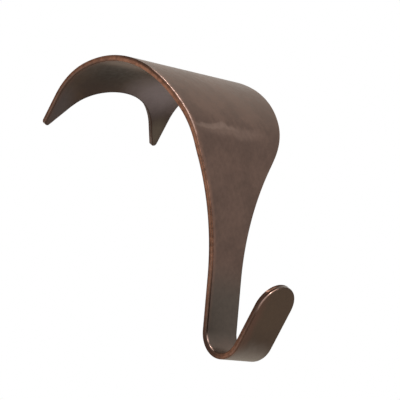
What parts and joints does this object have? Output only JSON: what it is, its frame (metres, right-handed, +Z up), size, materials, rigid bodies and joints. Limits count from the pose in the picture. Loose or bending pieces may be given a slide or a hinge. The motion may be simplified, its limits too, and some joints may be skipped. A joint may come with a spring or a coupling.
{
  "type": "moulding hook",
  "caption": "Moulding hook folded from sheet: a wide arch with pointed claws sits over a picture rail, and a tapering leg ends in an upturned round-ended lip.",
  "frame": {"origin": "axis of the crown bend, the arch's middle bend, at the middle of the width: the middle of the arched seat that sits over the rail", "axes": "+X away from the wall, +Y along the rail, +Z up, with the straight leg upright"},
  "size_m": [0.0668, 0.0396, 0.0701],
  "materials": {
    "antique_copper": "antiqued copper: dark brown patina, rubbed back to copper on the edges"
  },
  "bodies": {
    "root": {"hook": "antique_copper"}
  },
  "joints": []
}
